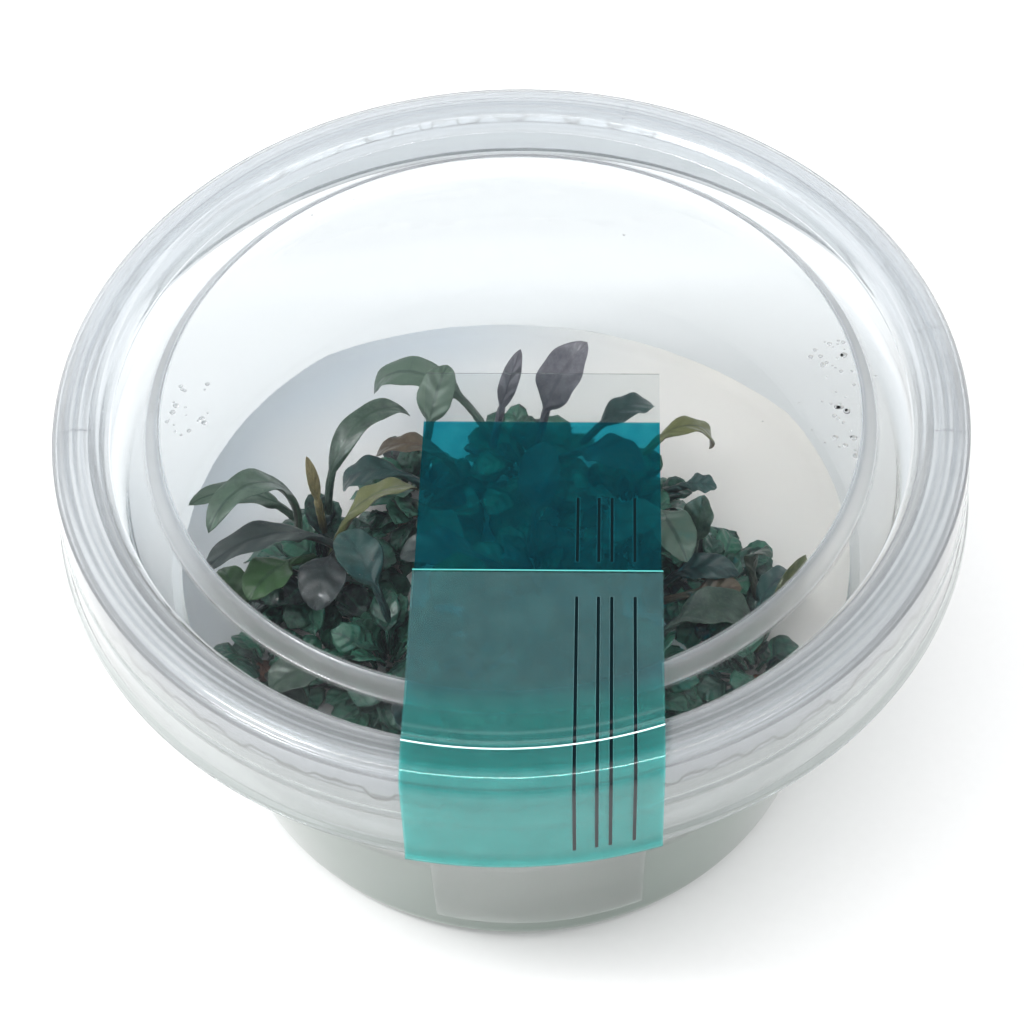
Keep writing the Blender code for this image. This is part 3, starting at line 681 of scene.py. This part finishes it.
def film_piece(name, grid, mark, material, node):
    """One closed film: a loop of points for each line across it, and a face at each end."""
    rows, columns, _ = grid.shape
    half = columns // 2
    closed = grid.copy()
    for row in (0, -1):
        closed[row, half:] = closed[row, :half][::-1]
    return piece(name, closed.reshape(-1, 3), grid_faces(rows, columns, False, True), material,
                 node, {"film": mark.reshape(-1, 3)}, 30.0)


STRIP = [(-4.0, 66.9, 0), (12.0, 66.9, 0), (28.0, 66.9, 0), (42.0, 66.9, 0), (47.5, 67.0, 0.5),
         (52.2, 67.3, 1), (53.8, 67.7, 1), (55.8, 67.85, 1), (57.9, 67.6, 1), (59.1, 66.5, 1),
         (59.35, 59.4, 1), (59.8, 54.1, 1), (60.4, 52.8, 1)]
strip_grid, strip_mark = film_grid(STRIP, 30.0, 4.2, -3.4, 0.15)


def band(tree, source, at, half):
    """1 within half mm of the place at, and 0 beyond it."""
    off = add(tree, "Math", [(1, at)], [(0, source)], operation="SUBTRACT")
    size = add(tree, "Math", links=[(0, off.outputs[0])], operation="ABSOLUTE")
    return span(tree, size.outputs[0], half, half + 0.06, 1.0, 0.0)


def film_look(tree, shader, head, bodies, rim_at, ruled, clear_to, rules, share, painted_highlights=()):
    """Colour a film along its length, with four plain ruled lines along part of it.

    bodies has two pairs of tones: over the panel, and from rim_at mm along it, on the rim.
    painted_highlights are lines of painted highlight along folds and cut edges across the
    film: place, half width, tone.
    """
    place = add(tree, "Attribute", attribute_name="film")
    parts = add(tree, "SeparateXYZ", links=[("Vector", place.outputs["Vector"])])
    along, across = parts.outputs["X"], parts.outputs["Y"]
    cloud = span(tree, noise_mm(tree, 3.0, 3.0).outputs["Fac"], 0.3, 0.7, 0, 1)
    flat, round_it = (blend(tree, cloud, linear(low), linear(high)) for low, high in bodies)
    mottled = blend(tree, span(tree, along, rim_at, rim_at + 6.0, 0, 1), flat, round_it)
    tone = blend(tree, span(tree, along, clear_to - 0.1, clear_to + 0.1, 0, 1), linear(head),
                 mottled)
    lines = [band(tree, across, at, 0.2) for at in (4.8, 7.4, 9.0, 11.8)]
    while len(lines) > 1:
        both = add(tree, "Math", links=[(0, lines.pop()), (1, lines.pop())], operation="MAXIMUM")
        lines.append(both.outputs[0])
    middle, half = sum(rules) / 2, (rules[1] - rules[0]) / 2
    inked = add(tree, "Math", links=[(0, band(tree, along, middle, half)), (1, lines[0])],
                operation="MULTIPLY").outputs[0]
    tone, closed = blend(tree, inked, tone, linear(ruled)), inked
    # Each painted highlight is a pale, opaque line across the film.
    for at, half, light in painted_highlights:
        highlight_band = band(tree, along, at, half)
        tone = blend(tree, highlight_band, tone, linear(light))
        closed = add(tree, "Math", links=[(0, closed), (1, highlight_band)],
                     operation="MAXIMUM").outputs[0]
    tree.links.new(tone, shader.inputs["Base Color"])
    bare = add(tree, "Math", [(0, 1.0)], [(1, closed)], operation="SUBTRACT")
    passed = add(tree, "Math", links=[(0, bare.outputs[0]), (1, span(
        tree, along, clear_to - 0.1, clear_to + 0.1, 1.0, share))], operation="MULTIPLY")
    tree.links.new(passed.outputs[0], shader.inputs["Transmission Weight"])
    bump(tree, shader, noise_mm(tree, 5.0, 1.0).outputs["Fac"], 0.03)


film_look(film_tree, film_shader, "#f6f9f9", (("#1c9cb2", "#30aebe"), ("#4ccfcc", "#58d8d4")),
          48.0, "#05161a", 8.2, (20.5, 30.5), 0.96)
film_piece("strip_film", strip_grid, strip_mark, film_tint, "label_strip")

# Front film: a second, hazy film over the strip's front part, a little wider, with a painted
# highlight along its cut edge and a white painted highlight along the fold across it.
haze_film, haze_tree, haze_shader = surface("hazy_film", Roughness=0.08, IOR=1.45)
plain = [(reach, height) for reach, height, _ in STRIP if reach >= 28.0]
over = [(*point, station[2]) for point, station in zip(beside(plain, 0.45), STRIP[2:])]
over[3:4] = [(51.4, 67.62, 1.0), (52.4, 67.9, 1.0), (53.0, 67.8, 1.0)]
over_grid, over_mark = film_grid(over, 30.4, 4.2, -3.4, 0.15)
# The last two entries are painted highlights: white along the fold at 26.5 mm, cyan along the cut edge
# at the head.
film_look(haze_tree, haze_shader, "#c4fffa", (("#92c8cc", "#a2d6d8"), ("#7fe3df", "#8debe7")),
          16.0, "#05161a", 0.4, (4.0, 44.0), 0.92,
          ((26.5, 0.07, "#f6fffe"), (0.06, 0.06, "#4fb5b0")))
film_piece("front_film", over_grid, over_mark, haze_film, "label_overlay")

# Cup sticker: clear film on the cup's wall under the strip, printed side left bare.
sticker_film, sticker_tree, sticker_shader = surface("clear_sticker", Roughness=0.2, IOR=1.45)
film_look(sticker_tree, sticker_shader, "#e2e8e4", (("#d6ded9", "#dce2de"),
                                                   ("#d6ded9", "#dce2de")),
          60.0, "#6d7a7a", 0.2, (-9.0, -8.0), 0.97)
wall = [(42.14 + (level - 3.47) / (55.5 - 3.47) * (51.2 - 42.14) + 0.4, level, 1.0)
        for level in np.linspace(50.0, 8.0, 7)]
tag_grid, tag_mark = film_grid(wall, 28.0, 1.3, 0.0, 0.15)
film_piece("cup_tag", tag_grid, tag_mark, sticker_film, "cup_sticker")

# Condensation: drops that hang under the lid's panel and shelf, and a scalloped thread of
# water held between the lid's skirt and the cup's lip.
water, water_tree, water_shader = surface("water", Transmission_Weight=1.0, IOR=1.33,
                                          Roughness=0.0)
groups = []
for spread in ((44, -15, 11, 39.5, 44.8, 0.15, 0.5), (20, 171, 187, 38.5, 44.4, 0.12, 0.42),
               (26, 0, 360, 30, 50, 0.1, 0.2)):
    count, turn_a, turn_b, near, far, small, large = spread
    angle = np.radians(luck.uniform(turn_a, turn_b, count))
    out = luck.uniform(near, far, count)
    size = small + (large - small) * luck.random(count) ** 2.5
    roof = np.where(out < 44.9, 66.0, np.where(out > 47.3, 64.1, 0.0))
    keep = roof > 0
    angle, out, size, roof = angle[keep], out[keep], size[keep], roof[keep]
    fall = np.linspace(0, np.pi / 2, 5)
    turn = 2 * np.pi * np.arange(10) / 10
    ring = np.append(np.cos(fall), 0.0)[[5, 0, 1, 2, 3, 4]]
    drop = np.append(-0.55 * np.sin(fall), -0.0)[[5, 0, 1, 2, 3, 4]]
    x = (out * np.cos(angle))[:, None, None] + size[:, None, None] * ring[:, None] * np.cos(turn)
    y = (out * np.sin(angle))[:, None, None] + size[:, None, None] * ring[:, None] * np.sin(turn)
    z = (roof - 0.02)[:, None, None] + size[:, None, None] * drop[:, None] + 0 * turn
    groups.append(np.stack([x, y, z], -1))
verts, faces = bunch(groups)
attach(piece("lid_drops", verts, faces, water, sharp=60.0), "root")
turn = np.linspace(0, 2 * np.pi, 1441)
wander = turn * 58 + 2.4 * np.sin(turn * 5 + 0.7) + 1.5 * np.sin(turn * 11)
scallop = np.sqrt(np.clip(np.sin(wander) + 0.5 * np.sin(turn * 17), 0, 1))
depth = 1.3 + 0.5 * np.sin(turn * 7 + 1.0) + 0.4 * np.sin(turn * 19)
level = 62.8 - depth * scallop + 0.14 * np.sin(turn * 131)
thread = np.stack([57.95 * np.cos(turn), 57.95 * np.sin(turn), level], -1)
slim = 0.2 + 0.06 * np.sin(turn * 60)
# The thread is coloured a mottled dark grey-green and lets little light through.
dark_tone, dark_tone_tree, dark_tone_shader = surface("water_with_dark_tone", Roughness=0.1, IOR=1.33,
                                                Transmission_Weight=0.1)
dark_tone_tree.links.new(blend(dark_tone_tree, noise_mm(dark_tone_tree, 4.0).outputs["Fac"],
                             linear("#26332b"), linear("#5f6d60")),
                       dark_tone_shader.inputs["Base Color"])
verts, faces = bunch([tubes(thread[None], slim[None], 6)])
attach(piece("rim_water", verts, faces, dark_tone, sharp=180.0), "root")

# Moulding ticks: four short radial ribs on the lid's rim, where the press's inserts meet.
groups = []
for bearing, near, far in ((9.0, 53.6, 57.4), (-9.0, 53.6, 57.4), (-177.0, 53.6, 57.4),
                           (71.0, 53.6, 58.2)):
    head = math.radians(bearing)
    out = np.linspace(near, far, 9)
    level = np.interp(out, *np.array(lid_outside[5:18]).T) + 0.02
    path = np.stack([out * math.cos(head), out * math.sin(head), level], -1)
    groups.append(tubes(path[None], 0.16 * np.sin(np.linspace(0.4, 2.7, 9))[None], 6))
verts, faces = bunch(groups)
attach(piece("lid_ticks", verts, faces, lid_plastic, sharp=180.0), "root")
